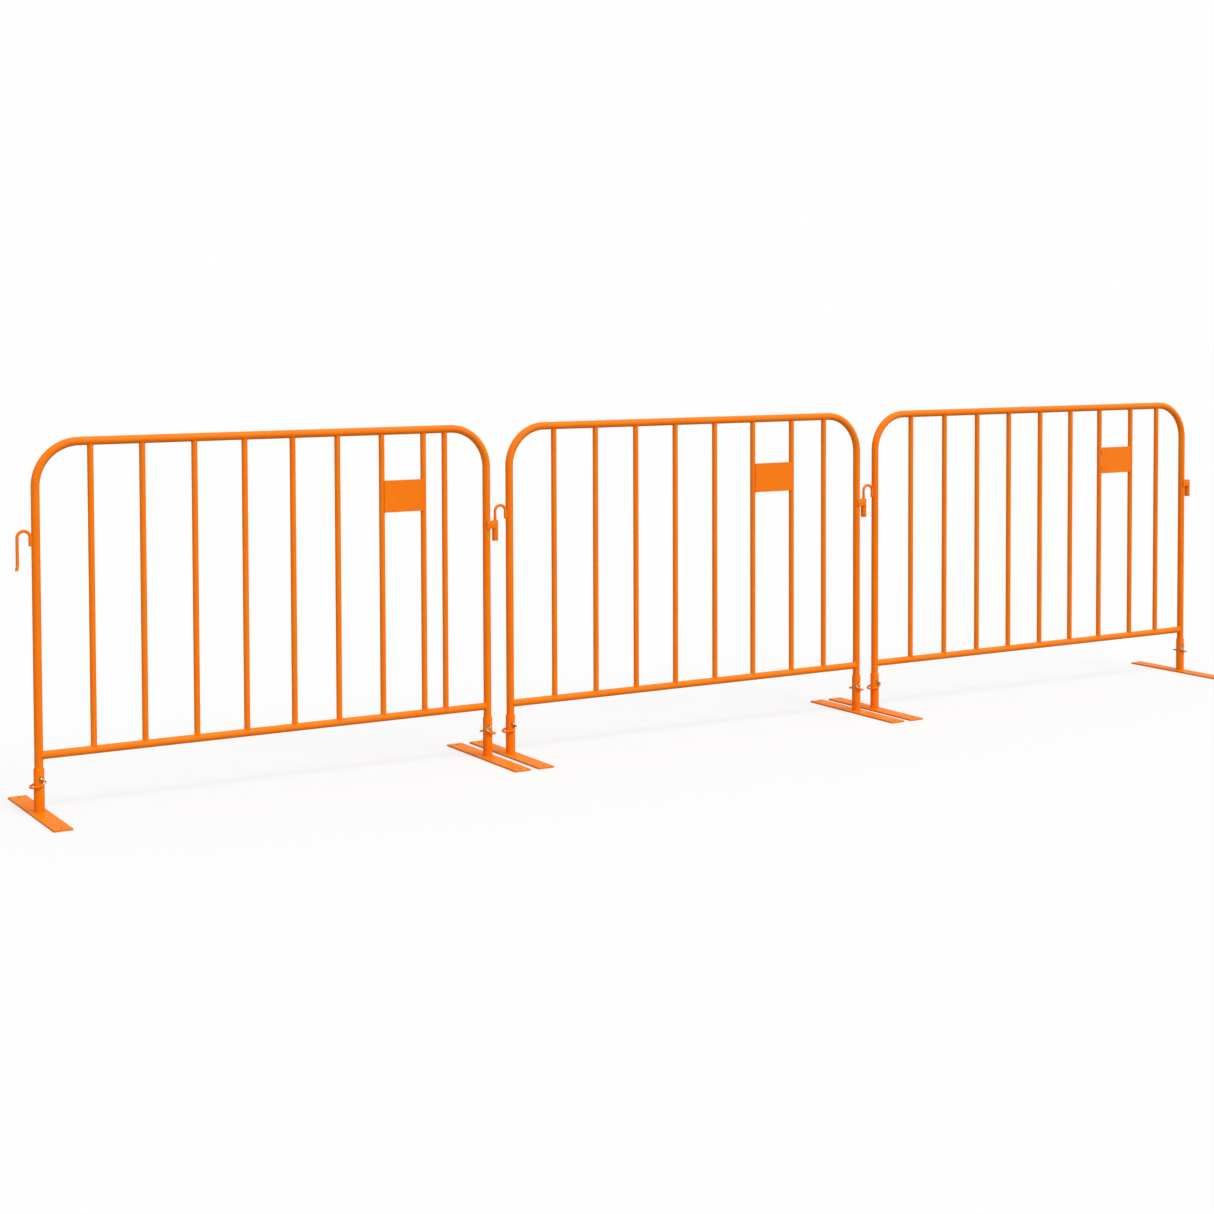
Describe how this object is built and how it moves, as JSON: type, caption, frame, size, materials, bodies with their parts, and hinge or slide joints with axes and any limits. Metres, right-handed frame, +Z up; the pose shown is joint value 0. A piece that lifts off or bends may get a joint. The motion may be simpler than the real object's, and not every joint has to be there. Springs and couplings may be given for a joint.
{
  "type": "crowd control barricade",
  "caption": "Run of steel pedestrian barricade sections: bent tube frames with upright pickets, hooked end to end on flat bolt-down feet held by ring clips.",
  "frame": {"origin": "centre of the box round the whole run, on the floor under the feet", "axes": "+X along the run towards the free socket, +Z up, -Y towards the front, where the name plates and the ring clips are"},
  "size_m": [4.758, 0.485, 1.1],
  "materials": {
    "frame_paint": "orange powder coat, satin",
    "rail_paint": "orange powder coat, satin",
    "picket_paint": "orange powder coat, satin",
    "name_plate_paint": "orange powder coat, satin",
    "hook_paint": "orange powder coat, scuffed on the hook",
    "socket_paint": "orange powder coat, satin",
    "foot_plate_paint": "orange powder coat, scuffed",
    "foot_sleeve_paint": "orange powder coat, satin",
    "clip_paint": "orange powder coat, worn to bright wire at the pin"
  },
  "bodies": {
    "section_1": {"section_1_frame_tube": "frame_paint", "section_1_bottom_rail": "rail_paint", "section_1_picket_1": "picket_paint", "section_1_picket_2": "picket_paint", "section_1_picket_3": "picket_paint", "section_1_picket_4": "picket_paint", "section_1_picket_5": "picket_paint", "section_1_picket_6": "picket_paint", "section_1_picket_7": "picket_paint", "section_1_picket_8": "picket_paint", "section_1_picket_9": "picket_paint", "section_1_name_plate": "name_plate_paint", "section_1_hook": "hook_paint", "section_1_socket": "socket_paint", "section_1_left_foot_plate": "foot_plate_paint", "section_1_left_foot_sleeve": "foot_sleeve_paint", "section_1_right_foot_plate": "foot_plate_paint", "section_1_right_foot_sleeve": "foot_sleeve_paint"},
    "section_1_left_ring": {"section_1_left_clip": "clip_paint"},
    "section_1_right_ring": {"section_1_right_clip": "clip_paint"},
    "section_2": {"section_2_frame_tube": "frame_paint", "section_2_bottom_rail": "rail_paint", "section_2_picket_1": "picket_paint", "section_2_picket_2": "picket_paint", "section_2_picket_3": "picket_paint", "section_2_picket_4": "picket_paint", "section_2_picket_5": "picket_paint", "section_2_picket_6": "picket_paint", "section_2_picket_7": "picket_paint", "section_2_picket_8": "picket_paint", "section_2_name_plate": "name_plate_paint", "section_2_hook": "hook_paint", "section_2_socket": "socket_paint", "section_2_left_foot_plate": "foot_plate_paint", "section_2_left_foot_sleeve": "foot_sleeve_paint", "section_2_right_foot_plate": "foot_plate_paint", "section_2_right_foot_sleeve": "foot_sleeve_paint"},
    "section_2_left_ring": {"section_2_left_clip": "clip_paint"},
    "section_2_right_ring": {"section_2_right_clip": "clip_paint"},
    "section_3": {"section_3_frame_tube": "frame_paint", "section_3_bottom_rail": "rail_paint", "section_3_picket_1": "picket_paint", "section_3_picket_2": "picket_paint", "section_3_picket_3": "picket_paint", "section_3_picket_4": "picket_paint", "section_3_picket_5": "picket_paint", "section_3_picket_6": "picket_paint", "section_3_picket_7": "picket_paint", "section_3_picket_8": "picket_paint", "section_3_picket_9": "picket_paint", "section_3_name_plate": "name_plate_paint", "section_3_hook": "hook_paint", "section_3_socket": "socket_paint", "section_3_left_foot_plate": "foot_plate_paint", "section_3_left_foot_sleeve": "foot_sleeve_paint", "section_3_right_foot_plate": "foot_plate_paint", "section_3_right_foot_sleeve": "foot_sleeve_paint"},
    "section_3_left_ring": {"section_3_left_clip": "clip_paint"},
    "section_3_right_ring": {"section_3_right_clip": "clip_paint"}
  },
  "joints": [
    {"name": "coupling_1_swing", "type": "hinge", "parent": "section_1", "child": "section_2", "pos_m": [-0.81115, -0.00355, 0.74925], "axis": [0, 0, 1], "range_deg": [-5, 5]},
    {"name": "coupling_2_swing", "type": "hinge", "parent": "section_2", "child": "section_3", "pos_m": [0.71085, -0.00355, 0.74925], "axis": [0, 0, 1], "range_deg": [-5, 5]},
    {"name": "section_1_left_clip_pull", "type": "slide", "parent": "section_1", "child": "section_1_left_ring", "axis": [0, -1, 0], "range_m": [0, 0.006]},
    {"name": "section_1_right_clip_pull", "type": "slide", "parent": "section_1", "child": "section_1_right_ring", "axis": [0, -1, 0], "range_m": [0, 0.006]},
    {"name": "section_2_left_clip_pull", "type": "slide", "parent": "section_2", "child": "section_2_left_ring", "axis": [0, -1, 0], "range_m": [0, 0.006]},
    {"name": "section_2_right_clip_pull", "type": "slide", "parent": "section_2", "child": "section_2_right_ring", "axis": [0, -1, 0], "range_m": [0, 0.006]},
    {"name": "section_3_left_clip_pull", "type": "slide", "parent": "section_3", "child": "section_3_left_ring", "axis": [0, -1, 0], "range_m": [0, 0.006]},
    {"name": "section_3_right_clip_pull", "type": "slide", "parent": "section_3", "child": "section_3_right_ring", "axis": [0, -1, 0], "range_m": [0, 0.006]}
  ]
}
